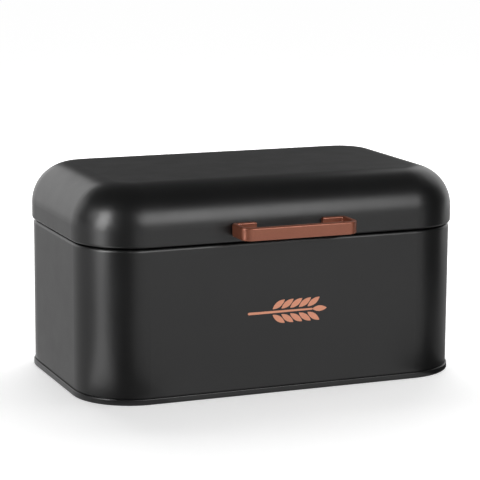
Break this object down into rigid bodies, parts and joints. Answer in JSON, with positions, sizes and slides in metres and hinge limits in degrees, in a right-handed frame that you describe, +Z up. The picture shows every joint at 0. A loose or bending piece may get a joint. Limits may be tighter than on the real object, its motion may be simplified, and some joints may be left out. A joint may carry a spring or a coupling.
{
  "type": "bread bin",
  "caption": "Rectangular steel bread bin with round corners, a domed lid hinged at the back and a flat bar handle across the front of the lid.",
  "frame": {"origin": "on the counter, under the centre of the body's footprint, in the plane of the base bead's flat foot", "axes": "+X along the length, to the right when seen from the front; the front with the handle faces -Y; +Z up"},
  "size_m": [0.333, 0.2378, 0.174],
  "materials": {
    "powder_coat": "satin",
    "copper_coat": "satin",
    "zinc_steel": "satin"
  },
  "bodies": {
    "bin": {"body_wall": "powder_coat", "base_pan": "powder_coat", "hinge_body_leaf_left": "powder_coat", "hinge_body_leaf_right": "powder_coat", "hinge_pin_left": "zinc_steel", "hinge_pin_right": "zinc_steel", "hinge_body_rivets": "zinc_steel"},
    "lid": {"lid_shell": "powder_coat", "handle": "copper_coat", "handle_screws": "zinc_steel", "handle_washers": "zinc_steel", "hinge_lid_leaf_left": "powder_coat", "hinge_lid_leaf_right": "powder_coat", "hinge_lid_rivets": "zinc_steel"}
  },
  "joints": [
    {"name": "lid_hinge", "type": "hinge", "parent": "bin", "child": "lid", "pos_m": [0, 0.1029, 0.12625], "axis": [-1, 0, 0], "range_deg": [0, 105]}
  ]
}
